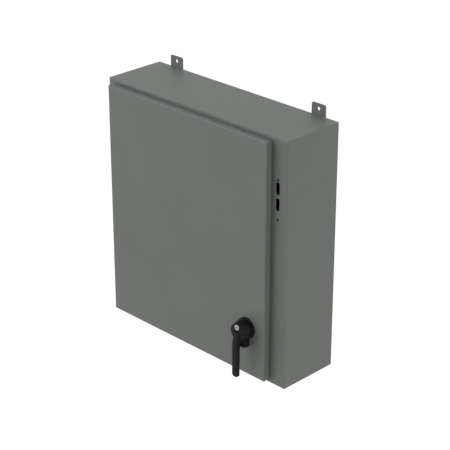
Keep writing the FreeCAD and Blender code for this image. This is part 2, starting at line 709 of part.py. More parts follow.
def handle_lever():
    """Die-cast hub that tapers towards the front, with the lever arm and its padlock ear."""
    body = piece("handle_lever")
    rear = sketch(body, "XZ", HUB_BACK)
    add_circle(rear, HANDLE_X, HANDLE_Z, "hub_rear_radius")
    front = sketch(body, "XZ", HUB_FRONT)
    add_circle(front, HANDLE_X, HANDLE_Z, "hub_front_radius")
    hub = body.newObject("PartDesign::AdditiveLoft", "handle_lever_loft")
    hub.Profile = rear
    hub.Sections = [front]
    hub.Ruled = True
    fillet(body, lambda middle, edge: near(-middle.y, HUB_FRONT), "hub_edge")
    drawn = sketch(body, "YZ", f"({HANDLE_X} - lever_width / 2)")
    add_outline(drawn, lever_profile())
    pad(body, drawn, "lever_width")
    tip = f"({HANDLE_Z} - lever_length)"
    fillet(body, lambda middle, edge: near(middle.z, tip) and no_longer(edge, "lever_thickness"),
           "(lever_width - lever_tip_flat) / 2")
    front_face = f"({DOOR_FACE} + lever_reach)"
    chamfer(body, lambda middle, edge: near(-middle.y, front_face)
            and middle.z < number(f"({HANDLE_Z} - lever_straight_drop - run_past)"), "lever_edge")
    ear_back = f"({DOOR_FACE} + lug_front + ear_gap)"
    slab(body, f"{HANDLE_X} - lug_width / 2", f"({HANDLE_Z} - ear_drop)", f"{HANDLE_X} + lug_width / 2",
         f"({HANDLE_Z} - hub_front_radius + lever_root_depth)", ear_back, f"({ear_back} + ear_thickness)")
    fillet(body, lambda middle, edge: near(middle.z, f"({HANDLE_Z} - ear_drop)")
           and edge.Length > number("lug_width") - NEAR, "ear_thickness * 0.45")
    drill_through(body, [(HANDLE_X, f"({HANDLE_Z} - padlock_hole_drop)")], "padlock_hole_radius",
                  ear_back, f"({ear_back} + ear_thickness)")
    square_hole(body, f"({HUB_BACK} - run_past)", f"({HUB_BACK} + socket_depth)")
    drill(body, [(HANDLE_X, f"({HANDLE_Z} + lock_rise)")], "lock_radius + lock_clearance",
          f"({HUB_FRONT} + lock_proud - lock_length)", f"({HUB_FRONT} + run_past)")


def lock_cylinder():
    """Key lock in the hub's face, with its key slot on a slant."""
    body = piece("lock_cylinder")
    up = f"({HANDLE_Z} + lock_rise)"
    face = f"({HUB_FRONT} + lock_proud)"
    discs(body, [(HANDLE_X, up)], "lock_radius", f"({face} - lock_length)", face)
    chamfer(body, lambda middle, edge: near(-middle.y, face), "lock_proud / 3")
    drawn = sketch(body, "XZ", f"({face} - key_slot_depth)")
    corners = []
    turn_x, turn_z = "cos(key_slot_angle * 1 deg)", "sin(key_slot_angle * 1 deg)"
    for along, beside in (("-", "-"), ("+", "-"), ("+", "+"), ("-", "+")):
        length, width = f"({along} key_slot_length / 2)", f"({beside} key_slot_width / 2)"
        corners.append((f"({HANDLE_X} + {length} * {turn_x} + {width} * {turn_z})",
                        f"({up} - {length} * {turn_z} + {width} * {turn_x})"))
    add_outline(drawn, corners)
    pocket(body, drawn, "key_slot_depth + run_past")


def shaft_and_cam():
    """Shaft from the hub through the door, and the latch cam that it turns."""
    shaft = piece("handle_shaft")
    discs(shaft, [(HANDLE_X, HANDLE_Z)], "shaft_radius", CAM_FRONT, HUB_BACK)
    for start, end in ((HUB_BACK, f"({HUB_BACK} + socket_depth - joint_play)"), (CAM_BACK, CAM_FRONT)):
        slab(shaft, f"{HANDLE_X} - shaft_square / 2", f"{HANDLE_Z} - shaft_square / 2",
             f"{HANDLE_X} + shaft_square / 2", f"{HANDLE_Z} + shaft_square / 2", start, end)
    drill(shaft, [(HANDLE_X, HANDLE_Z)], "cam_screw_radius + pin_clearance", f"({CAM_BACK} - run_past)",
          f"({CAM_BACK} + cam_screw_length + run_past)")
    cam = piece("latch_cam")
    discs(cam, [(HANDLE_X, HANDLE_Z)], "cam_radius", CAM_BACK, CAM_FRONT)
    slab(cam, f"{HANDLE_X} - cam_arm_width / 2", HANDLE_Z, f"{HANDLE_X} + cam_arm_width / 2",
         f"({HANDLE_Z} + cam_arm_length)", CAM_BACK, CAM_FRONT)
    fillet(cam, lambda middle, edge: near(middle.z, f"({HANDLE_Z} + cam_arm_length)")
           and no_longer(edge, "cam_gauge"), "cam_arm_width / 3")
    square_hole(cam, f"({CAM_BACK} - run_past)", f"({CAM_FRONT} + run_past)")
    pins = piece("cam_pins")
    places = [(f"({HANDLE_X} - {CRANK})", f"({HANDLE_Z} - {CRANK})"),
              (f"({HANDLE_X} + {CRANK})", f"({HANDLE_Z} + {CRANK})")]
    rod_clear = f"({ROD_BACK} - rod_gap)"
    discs(pins, places, "crank_pin_radius", rod_clear, CAM_BACK)
    discs(pins, places, "crank_pin_head_radius", f"({rod_clear} - crank_pin_head)", rod_clear)
    screw = piece("cam_screw")
    discs(screw, [(HANDLE_X, HANDLE_Z)], "cam_screw_radius", CAM_BACK, f"({CAM_BACK} + cam_screw_length)")
    drawn = sketch(screw, "XZ", f"({CAM_BACK} - cam_screw_head)")
    hexagon(drawn, HANDLE_X, HANDLE_Z, "cam_screw_flats")
    pad(screw, drawn, "cam_screw_head")


def latch_rod(name, side, up):
    """Flat bar from a slotted yoke on the cam's pin to a tapered tip beside the opening's edge."""
    body = piece(name)
    middle = f"({HANDLE_X} {side} {YOKE_MIDDLE})"
    pin_z = f"({HANDLE_Z} {side} {CRANK})"
    near_end = f"({pin_z} {'-' if up == '+' else '+'} yoke_end)"
    edge = f"({LIP_TOP} - body_gauge)" if up == "+" else f"({LIP_BOTTOM} + body_gauge)"
    far_end = f"({edge} {'-' if up == '+' else '+'} rod_drawn)"
    slab(body, f"{middle} - rod_width / 2", near_end, f"{middle} + rod_width / 2", far_end,
         ROD_BACK, ROD_FRONT)
    chamfer(body, lambda point, line: near(point.z, far_end) and no_longer(line, "rod_gauge"),
            "rod_width / 4")
    reach = f"((crank_radius - {CRANK}) / 2 + crank_pin_radius + rod_gap)"
    half = "(crank_pin_radius + yoke_clearance)"
    slab_cut(body, f"{middle} - {reach}", f"{pin_z} - {half}", f"{middle} + {reach}", f"{pin_z} + {half}",
             f"({ROD_BACK} - run_past)", f"({ROD_FRONT} + run_past)")


def rod_guide(name, side, up):
    """Angle bracket welded inside the door, with a slot that the rod slides through."""
    body = piece(name)
    middle = f"({HANDLE_X} {side} {YOKE_MIDDLE})"
    level = f"({up}({LIP_TOP} - guide_inset))"
    slab(body, f"{middle} - guide_width / 2", f"{level} - guide_gauge / 2", f"{middle} + guide_width / 2",
         f"{level} + guide_gauge / 2", f"({ROD_BACK} - guide_back)", DOOR_SKIN)
    foot_low = f"({level} - guide_foot)" if up == "" else f"({level} - guide_gauge / 2)"
    foot_high = f"({level} + guide_gauge / 2)" if up == "" else f"({level} + guide_foot)"
    slab(body, f"{middle} - guide_width / 2", foot_low, f"{middle} + guide_width / 2", foot_high,
         f"({DOOR_SKIN} - guide_gauge)", DOOR_SKIN)
    slab_cut(body, f"{middle} - rod_width / 2 - guide_clearance", f"{level} - guide_gauge",
             f"{middle} + rod_width / 2 + guide_clearance", f"{level} + guide_gauge",
             f"({ROD_BACK} - guide_clearance)", f"({ROD_FRONT} + guide_clearance)")


def drawing_pocket():
    """Moulded pocket for drawings on the inside of the door, open at the top."""
    body = piece("drawing_pocket")
    left = f"({DOOR_MIDDLE} + pocket_shift - pocket_width / 2)"
    right = f"({DOOR_MIDDLE} + pocket_shift + pocket_width / 2)"
    bottom, top = "(-pocket_height / 2 - pocket_drop)", "(pocket_height / 2 - pocket_drop)"
    back = f"({DOOR_SKIN} - pocket_depth)"
    slab(body, left, bottom, right, top, back, DOOR_SKIN)
    fillet(body, lambda middle, edge: near(-middle.y, back) and not near(middle.z, top), "2 * pocket_wall")
    slab_cut(body, f"{left} + pocket_wall", f"{bottom} + pocket_wall", f"{right} - pocket_wall",
             f"{top} + run_past", f"({back} + pocket_wall)", f"({DOOR_SKIN} - pocket_wall)")


def write_parts():
    """Check every object of the document, then write each sub-part to its own file."""
    DOC.recompute()
    for thing in DOC.Objects:
        if "Invalid" in thing.State or "Error" in thing.State:
            raise RuntimeError(f"{thing.Name} is in state {thing.State}")
    os.makedirs("parts", exist_ok=True)
    for body in DOC.findObjects("PartDesign::Body"):
        if body.Shape.isNull() or not body.Shape.isValid() or not body.Shape.Solids:
            raise RuntimeError(f"{body.Label} has no valid shape")
        body.Shape.exportStep(f"parts/{body.Label}.step")
        print(body.Label, len(body.Shape.Solids), round(body.Shape.Volume, 1))


body_wrap()
back_sheet()
wall_tabs()
panel_group()
earth_group()
door_panel()
door_gasket()
hinges()
handle_fixed()
handle_lever()
lock_cylinder()
shaft_and_cam()
latch_rod("upper_rod", "-", "+")
latch_rod("lower_rod", "+", "-")
rod_guide("upper_rod_guide", "-", "")
rod_guide("lower_rod_guide", "+", "-")
drawing_pocket()
write_parts()
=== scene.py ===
"""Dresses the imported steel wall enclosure: powder-coated steel, a die-cast lever handle, a plain studio."""
import json
import logging
import math
from dataclasses import dataclass, field
from enum import Enum
from typing import Callable, Optional

import bmesh
import bpy
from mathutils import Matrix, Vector


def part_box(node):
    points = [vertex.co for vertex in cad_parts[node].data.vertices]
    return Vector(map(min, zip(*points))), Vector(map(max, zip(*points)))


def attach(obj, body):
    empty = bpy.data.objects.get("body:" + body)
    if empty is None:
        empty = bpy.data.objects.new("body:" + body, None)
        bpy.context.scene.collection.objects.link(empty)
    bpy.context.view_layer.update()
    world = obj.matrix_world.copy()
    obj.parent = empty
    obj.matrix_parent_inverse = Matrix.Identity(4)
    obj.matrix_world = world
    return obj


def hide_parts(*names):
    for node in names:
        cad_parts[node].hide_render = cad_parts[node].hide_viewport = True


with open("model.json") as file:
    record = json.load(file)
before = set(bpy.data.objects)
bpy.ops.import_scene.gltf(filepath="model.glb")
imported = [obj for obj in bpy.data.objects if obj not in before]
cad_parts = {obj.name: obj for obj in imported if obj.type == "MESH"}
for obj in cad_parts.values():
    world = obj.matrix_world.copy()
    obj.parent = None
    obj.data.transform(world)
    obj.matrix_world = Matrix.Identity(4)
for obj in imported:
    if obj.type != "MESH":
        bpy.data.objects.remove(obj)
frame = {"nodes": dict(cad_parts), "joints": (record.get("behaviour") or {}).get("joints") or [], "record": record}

LOG = logging.getLogger("enclosure")
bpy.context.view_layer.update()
MM = 0.001
# How far apart two coordinates may lie and still count as equal.
NEAR = 0.1 * MM
# The least share of a unit vector along an axis that counts as parallel to it.
PARALLEL = 0.99
WHITE = (1.0, 1.0, 1.0, 1.0)
# Sockets of a colour Mix node, which share their names with sockets for other kinds of value.
MIX_FIRST, MIX_SECOND, MIX_RESULT = 6, 7, 2
# Rings in a metre of a ring wave texture whose scale is 1.
RINGS_AT_SCALE_ONE = 20 / (2 * math.pi)
# Takes the middle of a face or an edge, and its normal or direction, and says whether it is wanted.
Test = Callable[[Vector, Vector], bool]


class Slot(Enum):
    """Material slots of the record, which the pieces take their finish from."""

    ENAMEL = "enamel"
    PANEL = "panel_enamel"
    ZINC = "zinc"
    SEAL = "seal"
    HANDLE = "handle_black"
    LOCK = "lock_chrome"
    POCKET = "pocket_plastic"


class Body(Enum):
    """Bodies of the frame that new pieces ride on."""

    DOOR = "door"
    HANDLE = "handle"
    KEY = "key"


class Merge(Enum):
    """What a second mesh does to the first."""

    JOIN = "UNION"
    CUT = "DIFFERENCE"


class Element(Enum):
    """What is selected in edit mode."""

    CORNER = "VERT"
    EDGE = "EDGE"
    FACE = "FACE"


def linear(hex_colour: str) -> tuple[float, float, float, float]:
    """Turn an sRGB hex colour into linear light.

    Args:
        hex_colour: Six hex digits, such as "6E716D".

    Returns:
        Red, green, blue and an alpha of 1.
    """
    channels = [int(hex_colour[i:i + 2], 16) / 255 for i in (0, 2, 4)]
    steps = [c / 12.92 if c <= 0.04045 else ((c + 0.055) / 1.055) ** 2.4 for c in channels]
    return (*steps, 1.0)


def add_node(tree: bpy.types.NodeTree, kind: str, settings: Optional[dict] = None,
             links: Optional[dict] = None) -> bpy.types.Node:
    """Add a shader node.

    Args:
        tree: The material's node tree.
        kind: The node's type name.
        settings: Values by attribute name, or by input name or number.
        links: Output sockets by input name or number.

    Returns:
        The new node.
    """
    node = tree.nodes.new(kind)
    for key, value in (settings or {}).items():
        if isinstance(key, str) and hasattr(node, key):
            setattr(node, key, value)
        else:
            node.inputs[key].default_value = value
    for key, socket in (links or {}).items():
        tree.links.new(socket, node.inputs[key])
    return node


def per_metre(size_mm: float) -> float:
    """How many features of this size in millimetres fit in a metre, which is a noise texture's scale."""
    return 1.0 / (size_mm * MM)


@dataclass(frozen=True)
class Finish:
    """What all finishes share: a name, a colour, and how the surface scatters light."""

    name: str
    colour: str
    roughness: float
    metallic: float = 0.0
    ior: float = 1.5
    specular: float = 0.5

    def material(self) -> bpy.types.Material:
        """Build the material.

        Returns:
            The node material, ready for a material slot.
        """
        made = bpy.data.materials.new(self.name)
        made.use_nodes = True
        tree = made.node_tree
        tree.nodes.clear()
        shader = add_node(tree, "ShaderNodeBsdfPrincipled", {
            "Base Color": linear(self.colour), "Roughness": self.roughness, "Metallic": self.metallic,
            "IOR": self.ior, "Specular IOR Level": self.specular})
        place = add_node(tree, "ShaderNodeTexCoord")
        self.dress(tree, shader, place.outputs["Object"])
        add_node(tree, "ShaderNodeOutputMaterial", links={"Surface": shader.outputs["BSDF"]})
        return made

    def dress(self, tree: bpy.types.NodeTree, shader: bpy.types.Node, place: bpy.types.NodeSocket) -> None:
        """Add the surface's own pattern; each finish has one."""
        raise NotImplementedError


@dataclass(frozen=True, kw_only=True)
class PowderCoat(Finish):
    """Baked powder paint: satin, with the soft orange-peel swell that the melted powder leaves."""

    dark: str
    # The swell has its real size, which shows from close by and only softens reflections from far off.
    peel_mm: float = 2.2
    peel_depth_mm: float = 0.03
    speck_mm: float = 1.54
    speck_share: float = 0.25
    cloud_mm: float = 160.0
    glossier: float = 0.05
    duller: float = 0.06

    def dress(self, tree: bpy.types.NodeTree, shader: bpy.types.Node, place: bpy.types.NodeSocket) -> None:
        """Faint clouds in the film's thickness, fine speckle, and the swell as a bump.

        Args:
            tree: The material's node tree.
            shader: The surface shader.
            place: Object coordinates.
        """
        cloud = add_node(tree, "ShaderNodeTexNoise", {"Scale": per_metre(self.cloud_mm), "Detail": 3.0},
                         {"Vector": place})
        speck = add_node(tree, "ShaderNodeTexNoise", {"Scale": per_metre(self.speck_mm), "Detail": 1.0},
                         {"Vector": place})
        both = add_node(tree, "ShaderNodeMath", {"operation": "MULTIPLY_ADD", 1: self.speck_share},
                        {0: speck.outputs["Fac"], 2: cloud.outputs["Fac"]})
        tone = add_node(tree, "ShaderNodeMapRange", {"From Min": 0.3, "From Max": 0.95},
                        {"Value": both.outputs[0]})
        mix = add_node(tree, "ShaderNodeMix", {
            "data_type": "RGBA", MIX_FIRST: linear(self.dark), MIX_SECOND: linear(self.colour)},
                       {0: tone.outputs["Result"]})
        tree.links.new(mix.outputs[MIX_RESULT], shader.inputs["Base Color"])
        gloss = add_node(tree, "ShaderNodeMapRange", {
            "To Min": self.roughness - self.glossier, "To Max": self.roughness + self.duller},
                         {"Value": cloud.outputs["Fac"]})
        tree.links.new(gloss.outputs["Result"], shader.inputs["Roughness"])
        peel = add_node(tree, "ShaderNodeTexNoise", {"Scale": per_metre(self.peel_mm), "Detail": 1.5},
                        {"Vector": place})
        bump = add_node(tree, "ShaderNodeBump", {"Strength": 0.35, "Distance": self.peel_depth_mm * MM},
                        {"Height": peel.outputs["Fac"]})
        tree.links.new(bump.outputs["Normal"], shader.inputs["Normal"])


@dataclass(frozen=True, kw_only=True)
class ZincPlate(Finish):
    """Zinc-plated steel: pale metal with a blotchy, faintly warm and cool passivation film."""

    warm: str
    blotch_mm: float = 9.0
    # The real grain is finer; this one is drawn coarse enough to show from close by.
    grain_mm: float = 0.8
    grain_depth_mm: float = 0.02
    glossier: float = 0.1
    duller: float = 0.12

    def dress(self, tree: bpy.types.NodeTree, shader: bpy.types.Node, place: bpy.types.NodeSocket) -> None:
        """Blotches of two tints, uneven gloss and a fine tooling grain.

        Args:
            tree: The material's node tree.
            shader: The surface shader.
            place: Object coordinates.
        """
        blotch = add_node(tree, "ShaderNodeTexNoise", {"Scale": per_metre(self.blotch_mm), "Detail": 4.0},
                          {"Vector": place})
        mix = add_node(tree, "ShaderNodeMix", {
            "data_type": "RGBA", MIX_FIRST: linear(self.warm), MIX_SECOND: linear(self.colour)},
                       {0: blotch.outputs["Fac"]})
        tree.links.new(mix.outputs[MIX_RESULT], shader.inputs["Base Color"])
        gloss = add_node(tree, "ShaderNodeMapRange", {
            "To Min": self.roughness - self.glossier, "To Max": self.roughness + self.duller},
                         {"Value": blotch.outputs["Fac"]})
        tree.links.new(gloss.outputs["Result"], shader.inputs["Roughness"])
        grain = add_node(tree, "ShaderNodeTexNoise", {"Scale": per_metre(self.grain_mm), "Detail": 2.0},
                         {"Vector": place})
        bump = add_node(tree, "ShaderNodeBump", {"Strength": 0.2, "Distance": self.grain_depth_mm * MM},
                        {"Height": grain.outputs["Fac"]})
        tree.links.new(bump.outputs["Normal"], shader.inputs["Normal"])


@dataclass(frozen=True, kw_only=True)
class FoamSeal(Finish):
    """Foamed-in-place polyurethane or rubber: dull black with a skin of small closed cells."""

    # Darker colour where the cell skin dips: painted shade.
    painted_cell_shade: str
    # Real cells are smaller; these are drawn coarse enough to show from close by.
    cell_mm: float = 1.6
    cell_depth_mm: float = 0.15

    def dress(self, tree: bpy.types.NodeTree, shader: bpy.types.Node, place: bpy.types.NodeSocket) -> None:
        """Rounded cells as a bump, with painted shade that makes the low parts between them a little darker.

        Args:
            tree: The material's node tree.
            shader: The surface shader.
            place: Object coordinates.
        """
        cells = add_node(tree, "ShaderNodeTexVoronoi", {"Scale": per_metre(self.cell_mm)}, {"Vector": place})
        mix = add_node(tree, "ShaderNodeMix", {
            "data_type": "RGBA", MIX_FIRST: linear(self.colour), MIX_SECOND: linear(self.painted_cell_shade)},
                       {0: cells.outputs["Distance"]})
        tree.links.new(mix.outputs[MIX_RESULT], shader.inputs["Base Color"])
        bump = add_node(tree, "ShaderNodeBump", {
            "Strength": 0.5, "Distance": self.cell_depth_mm * MM, "invert": True},
                        {"Height": cells.outputs["Distance"]})
        tree.links.new(bump.outputs["Normal"], shader.inputs["Normal"])


@dataclass(frozen=True, kw_only=True)
class TexturedBlack(Finish):
    """Textured coat on a zinc die casting, or a moulded plastic: a fine even pebble."""

    # Paler colour on the pebble's crests: painted light.
    painted_crest_light: str
    # The real pebble is about half this size; it is drawn coarse enough to show from close by.
    pebble_mm: float = 0.9
    pebble_depth_mm: float = 0.05

    def dress(self, tree: bpy.types.NodeTree, shader: bpy.types.Node, place: bpy.types.NodeSocket) -> None:
        """The pebble as a bump, and painted light that gives its crests a slightly paler tone.

        Args:
            tree: The material's node tree.
            shader: The surface shader.
            place: Object coordinates.
        """
        pebble = add_node(tree, "ShaderNodeTexNoise", {"Scale": per_metre(self.pebble_mm), "Detail": 2.0},
                          {"Vector": place})
        # Painted light: the higher the pebble, the paler its colour.
        crest = add_node(tree, "ShaderNodeMapRange", {"From Min": 0.45, "From Max": 0.8},
                         {"Value": pebble.outputs["Fac"]})
        mix = add_node(tree, "ShaderNodeMix", {
            "data_type": "RGBA", MIX_FIRST: linear(self.colour), MIX_SECOND: linear(self.painted_crest_light)},
                       {0: crest.outputs["Result"]})
        tree.links.new(mix.outputs[MIX_RESULT], shader.inputs["Base Color"])
        bump = add_node(tree, "ShaderNodeBump", {"Strength": 0.4, "Distance": self.pebble_depth_mm * MM},
                        {"Height": pebble.outputs["Fac"]})
        tree.links.new(bump.outputs["Normal"], shader.inputs["Normal"])


@dataclass(frozen=True, kw_only=True)
class TurnedChrome(Finish):
    """Satin nickel-chrome plate on a turned lock face: soft rings round the lock's axis."""

    axis_x: float
    axis_z: float
    face_y: float
    # Colour that the lock turns to with depth behind its face: painted shade in the key slot and on the sunk plug.
    painted_depth_shade: str
    # Real tool marks are much finer; these are drawn coarse enough to show from close by.
    ring_mm: float = 3.14
    ring_depth_mm: float = 0.02
    uneven: float = 0.06
    # Depths behind the face where the painted shade begins and where it is full.
    shade_starts_mm: float = 0.4
    shade_full_mm: float = 2.6

    def dress(self, tree: bpy.types.NodeTree, shader: bpy.types.Node, place: bpy.types.NodeSocket) -> None:
        """Tool rings as a bump, a little unevenness in the gloss, and painted shade that darkens the sunk plug and
        the key slot the deeper they lie behind the face.

        Args:
            tree: The material's node tree.
            shader: The surface shader.
            place: Object coordinates.
        """
        centre = add_node(tree, "ShaderNodeMapping", {"Location": (-self.axis_x, 0.0, -self.axis_z)},
                          {"Vector": place})
        rings = add_node(tree, "ShaderNodeTexWave", {
            "wave_type": "RINGS", "rings_direction": "Y", "Distortion": 0.4,
            "Scale": per_metre(self.ring_mm) / RINGS_AT_SCALE_ONE},
                         {"Vector": centre.outputs["Vector"]})
        gloss = add_node(tree, "ShaderNodeMapRange", {
            "To Min": self.roughness - self.uneven, "To Max": self.roughness + self.uneven},
                         {"Value": rings.outputs["Fac"]})
        tree.links.new(gloss.outputs["Result"], shader.inputs["Roughness"])
        bump = add_node(tree, "ShaderNodeBump", {"Strength": 0.15, "Distance": self.ring_depth_mm * MM},
                        {"Height": rings.outputs["Fac"]})
        tree.links.new(bump.outputs["Normal"], shader.inputs["Normal"])
        # Painted shade: the colour darkens the deeper a point lies behind the lock's face.
        parts = add_node(tree, "ShaderNodeSeparateXYZ", links={"Vector": place})
        depth = add_node(tree, "ShaderNodeMapRange", {
            "From Min": self.face_y + self.shade_starts_mm * MM,
            "From Max": self.face_y + self.shade_full_mm * MM},
                         {"Value": parts.outputs["Y"]})
        tint = add_node(tree, "ShaderNodeMix", {
            "data_type": "RGBA", MIX_FIRST: linear(self.colour), MIX_SECOND: linear(self.painted_depth_shade)},
                        {0: depth.outputs["Result"]})
        tree.links.new(tint.outputs[MIX_RESULT], shader.inputs["Base Color"])


def select_only(thing: bpy.types.Object) -> None:
    """Leave one object selected and active.

    Args:
        thing: The object, while none is in edit mode.
    """
    bpy.ops.object.select_all(action="DESELECT")
    thing.select_set(True)
    bpy.context.view_layer.objects.active = thing


def settle(thing: bpy.types.Object, name: str) -> bpy.types.Object:
    """Name a new object and put its place into its mesh.

    Args:
        thing: The new object.
        name: The name of the object and its mesh.

    Returns:
        The same object, at the origin, unturned and unscaled.
    """
    select_only(thing)
    bpy.ops.object.transform_apply(location=True, rotation=True, scale=True)
    thing.name = name
    thing.data.name = name
    return thing


def new_cylinder(name: str, radius: float, centre: Vector, depth: float, sides: int = 96) -> bpy.types.Object:
    """Add a cylinder whose axis runs from front to back.

    Args:
        name: The object's name.
        radius: Its radius in metres.
        centre: The middle of its axis.
        depth: Its length.
        sides: How many flat sides approximate the round.

    Returns:
        The new object, with its place in its mesh.
    """
    bpy.ops.object.select_all(action="DESELECT")
    bpy.ops.mesh.primitive_cylinder_add(vertices=sides, radius=radius, depth=depth, location=centre,
                                        rotation=(math.pi / 2, 0, 0))
    return settle(bpy.context.object, name)


def new_box(name: str, low: Vector, high: Vector) -> bpy.types.Object:
    """Add a box.

    Args:
        name: The object's name.
        low: Its lowest corner.
        high: Its highest corner.

    Returns:
        The new object, with its place in its mesh.
    """
    bpy.ops.object.select_all(action="DESELECT")
    bpy.ops.mesh.primitive_cube_add(size=1, location=(low + high) / 2)
    made = bpy.context.object
    made.scale = high - low
    return settle(made, name)


def near(first: float, second: float) -> bool:
    """Whether two coordinates are as good as equal."""
    return abs(first - second) < NEAR


def edit_mode(thing: bpy.types.Object, element: Element, everything: bool = False) -> None:
    """Enter edit mode with nothing or everything selected.

    Args:
        thing: The mesh object.
        element: What is selected there.
        everything: Whether all of it is selected.
    """
    select_only(thing)
    bpy.ops.object.mode_set(mode="EDIT")
    bpy.ops.mesh.select_mode(type=element.value)
    bpy.ops.mesh.select_all(action="SELECT" if everything else "DESELECT")


def object_mode() -> None:
    """Leave edit mode."""
    bpy.ops.object.mode_set(mode="OBJECT")


def pick_faces(thing: bpy.types.Object, test: Test) -> None:
    """Enter edit mode with only the faces selected whose middle and normal pass a test.

    Args:
        thing: The mesh object.
        test: Takes a face's middle and its normal.
    """
    edit_mode(thing, Element.FACE)
    shape = bmesh.from_edit_mesh(thing.data)
    picked = [face for face in shape.faces if test(face.calc_center_median(), face.normal)]
    if not picked:
        raise ValueError(f"no face of {thing.name} passed the test")
    for face in picked:
        face.select_set(True)
    bmesh.update_edit_mesh(thing.data)


def bevel_edges(thing: bpy.types.Object, test: Test, width: float, segments: int) -> None:
    """Round the edges whose middle and direction pass a test.

    Args:
        thing: The mesh object.
        test: Takes an edge's middle and its unit direction.
        width: Radius of the rounding.
        segments: How many flats make the round.
    """
    edit_mode(thing, Element.EDGE)
    shape = bmesh.from_edit_mesh(thing.data)
    for edge in shape.edges:
        first, second = (corner.co for corner in edge.verts)
        if test((first + second) / 2, (second - first).normalized()):
            edge.select_set(True)
    bmesh.update_edit_mesh(thing.data)
    bpy.ops.mesh.bevel(offset=width, segments=segments, affect="EDGES", clamp_overlap=True)
    object_mode()


def apply_modifier(thing: bpy.types.Object, kind: str, **settings: object) -> None:
    """Add a modifier and apply it.

    Args:
        thing: The mesh object.
        kind: The modifier's type name.
        **settings: Its settings by attribute name.
    """
    select_only(thing)
    modifier = thing.modifiers.new(kind.lower(), kind)
    for key, value in settings.items():
        setattr(modifier, key, value)
    bpy.ops.object.modifier_apply(modifier=modifier.name)


def combine(thing: bpy.types.Object, other: bpy.types.Object, merge: Merge) -> None:
    """Join or cut one mesh with another, then delete the other."""
    apply_modifier(thing, "BOOLEAN", object=other, operation=merge.value, solver="EXACT")
    bpy.data.objects.remove(other)


def weld(thing: bpy.types.Object, distance: float) -> None:
    """Merge corners that lie close together, and drop faces without area.

    Args:
        thing: The mesh object.
        distance: How close, in metres.
    """
    edit_mode(thing, Element.CORNER, everything=True)
    bpy.ops.mesh.remove_doubles(threshold=distance)
    bpy.ops.mesh.dissolve_degenerate(threshold=distance)
    object_mode()


def round_edges(thing: bpy.types.Object, width: float, segments: int = 2, angle: float = 35.0) -> None:
    """Round every edge sharper than an angle in degrees, then shade the mesh smooth."""
    apply_modifier(thing, "BEVEL", width=width, segments=segments, limit_method="ANGLE",
                   angle_limit=math.radians(angle), use_clamp_overlap=True, harden_normals=False)
    shade(thing)


def shade(thing: bpy.types.Object, angle: float = 32.0) -> None:
    """Shade a mesh smooth except across edges sharper than an angle in degrees."""
    select_only(thing)
    bpy.ops.object.shade_smooth_by_angle(angle=math.radians(angle))


def paint(thing: bpy.types.Object, material: bpy.types.Material) -> None:
    """Give a whole mesh one material."""
    thing.data.materials.clear()
    thing.data.materials.append(material)


def register(thing: bpy.types.Object, body: Body, node: str) -> None:
    """Tell the frame what a new piece is.

    Args:
        thing: The piece.
        body: The body that it rides on.
        node: The CAD node that it stands for.
    """
    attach(thing, body.value)
    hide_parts(node)
    LOG.info("piece %s on body %s", thing.name, body.value)


def from_angles(azimuth: float, elevation: float) -> Vector:
    """Unit vector towards a place seen from the object.

    Args:
        azimuth: Degrees to the right of the door's front.
        elevation: Degrees above the floor.

    Returns:
        The direction from the object to the place.
    """
    across, up = math.radians(azimuth), math.radians(elevation)
    return Vector((math.sin(across) * math.cos(up), -math.cos(across) * math.cos(up), math.sin(up)))


def joint_point(name: str) -> Vector:
    """The point that a joint of the frame turns about."""
    return Vector(next(joint["pos_m"] for joint in frame["joints"] if joint["name"] == name))


@dataclass
class Finishes:
    """One material for each slot of the record."""

    # Grey polyester powder on the body and the door: an even satin grey with soft, faint clouds.
    grey: PowderCoat = PowderCoat("grey_powder_coat", "5F625F", 0.5, dark="595C59")
    # White polyester powder on the inner panel: clean, pale and a little glossier.
    white: PowderCoat = PowderCoat("white_powder_coat", "D6D7D2", 0.45, dark="CCCDC8")
    # Zinc plate on fasteners, cam, rods and pins: a silvery sheen, mottled warm and cool.
    zinc: ZincPlate = ZincPlate("zinc_plated_steel", "9CA0A3", 0.38, metallic=1.0, warm="A6A291")
    # Foamed seal of the door and seal of the handle: dull black that hardly reflects, with painted shade where its
    # skin dips.
    foam: FoamSeal = FoamSeal("foamed_seal", "1B1B1C", 0.85, ior=1.45, painted_cell_shade="0E0E0E")
    # Textured black coat on the handle's castings: nearly black, with a weak and broken highlight and painted
    # light on the pebble's crests.
    black: TexturedBlack = TexturedBlack("black_textured_die_casting", "131314", 0.4, specular=0.09,
                                         painted_crest_light="1E1E1F")
    # Moulded polystyrene of the pocket: mid grey with an etched, satin face and painted light on its crests.
    plastic: TexturedBlack = TexturedBlack("moulded_polystyrene", "4A4D4F", 0.5, painted_crest_light="565A5C",
                                           pebble_mm=1.2)
    made: dict[Slot, bpy.types.Material] = field(default_factory=dict)

    def build(self, lock_axis: Vector) -> None:
        """Make the materials.

        Args:
            lock_axis: A point on the key lock's axis.
        """
        # Satin chrome on the key lock: the one bright spot of the handle, with painted shade that darkens its key
        # slot and sunk plug.
        chrome = TurnedChrome("satin_chrome", "BCBCBA", 0.28, metallic=1.0, painted_depth_shade="0A0A0A",
                              axis_x=lock_axis.x, axis_z=lock_axis.z, face_y=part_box("lock_cylinder")[0].y)
        pairs = ((Slot.ENAMEL, self.grey), (Slot.PANEL, self.white), (Slot.ZINC, self.zinc),
                 (Slot.SEAL, self.foam), (Slot.HANDLE, self.black), (Slot.LOCK, chrome),
                 (Slot.POCKET, self.plastic))
        for slot, finish in pairs:
            self.made[slot] = finish.material()

    def dress_nodes(self) -> None:
        """Give every CAD node the finish of its slot."""
        for entry in frame["record"]["subparts"]:
            node = frame["nodes"][entry["node"]]
            paint(node, self.made[Slot(entry["material_slot"])])
            LOG.info("node %s in %s", entry["node"], entry["material_slot"])


